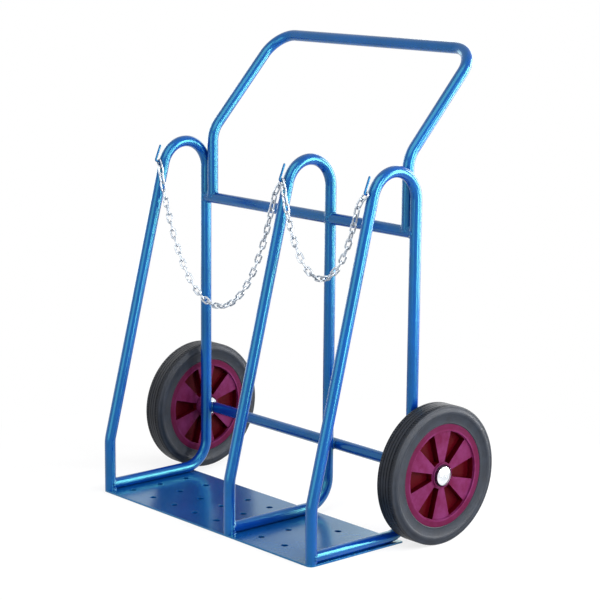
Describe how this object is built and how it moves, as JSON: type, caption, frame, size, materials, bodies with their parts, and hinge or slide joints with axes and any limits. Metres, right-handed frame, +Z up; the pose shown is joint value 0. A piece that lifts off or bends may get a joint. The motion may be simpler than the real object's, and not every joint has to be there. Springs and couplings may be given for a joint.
{
  "type": "gas cylinder trolley",
  "caption": "Two-bay gas cylinder trolley of bent tube: side loops on a punched base plate, leaning push handle, two wheels and a restraining chain across each bay.",
  "frame": {"origin": "on the floor, in the middle of the trolley's bounding box", "axes": "+Z up, the open front of the bays towards -Y, the handle towards +Y, the wide bay towards -X"},
  "size_m": [0.8576, 0.503, 1.0425],
  "materials": {
    "frame_paint": "gloss",
    "plate_paint": "satin",
    "axle_steel": "zinc plated",
    "chain_zinc": "bright zinc plated",
    "washer_zinc": "zinc plated",
    "cap_plated": "polished",
    "tyre_rubber": "matt",
    "wheel_plastic": "satin moulded",
    "bush_plastic": "moulded"
  },
  "bodies": {
    "frame": {"base_plate": "plate_paint", "side_loop_left": "frame_paint", "side_loop_middle": "frame_paint", "side_loop_right": "frame_paint", "upper_bar_wide": "frame_paint", "upper_bar_narrow": "frame_paint", "handle": "frame_paint", "axle_tube": "frame_paint", "axle": "axle_steel", "chain_hook_left": "frame_paint", "chain_hook_middle": "frame_paint", "chain_hook_right": "frame_paint", "chain_wide_hook_links": "chain_zinc", "chain_narrow_hook_links": "chain_zinc", "inner_washer_left": "washer_zinc", "inner_washer_right": "washer_zinc", "outer_washer_left": "washer_zinc", "outer_washer_right": "washer_zinc", "axle_cap_left": "cap_plated", "axle_cap_right": "cap_plated"},
    "wheel_left": {"tyre_left": "tyre_rubber", "wheel_centre_left": "wheel_plastic", "hub_bush_left": "bush_plastic"},
    "wheel_right": {"tyre_right": "tyre_rubber", "wheel_centre_right": "wheel_plastic", "hub_bush_right": "bush_plastic"},
    "wide_chain": {"chain_wide": "chain_zinc"},
    "narrow_chain": {"chain_narrow": "chain_zinc"}
  },
  "joints": [
    {"name": "wheel_left_spin", "type": "hinge", "parent": "frame", "child": "wheel_left", "pos_m": [-0.3965, 0.0676, 0.15], "axis": [1, 0, 0], "continuous": true},
    {"name": "wheel_right_spin", "type": "hinge", "parent": "frame", "child": "wheel_right", "pos_m": [0.3965, 0.0676, 0.15], "axis": [1, 0, 0], "continuous": true},
    {"name": "chain_wide_swing", "type": "hinge", "parent": "frame", "child": "wide_chain", "pos_m": [-0.1315, -0.10167, 0.72607], "axis": [1, 0, 0], "range_deg": [-75, 50]},
    {"name": "chain_narrow_swing", "type": "hinge", "parent": "frame", "child": "narrow_chain", "pos_m": [0.216, -0.10593, 0.72716], "axis": [1, 0, 0], "range_deg": [-75, 50]}
  ]
}
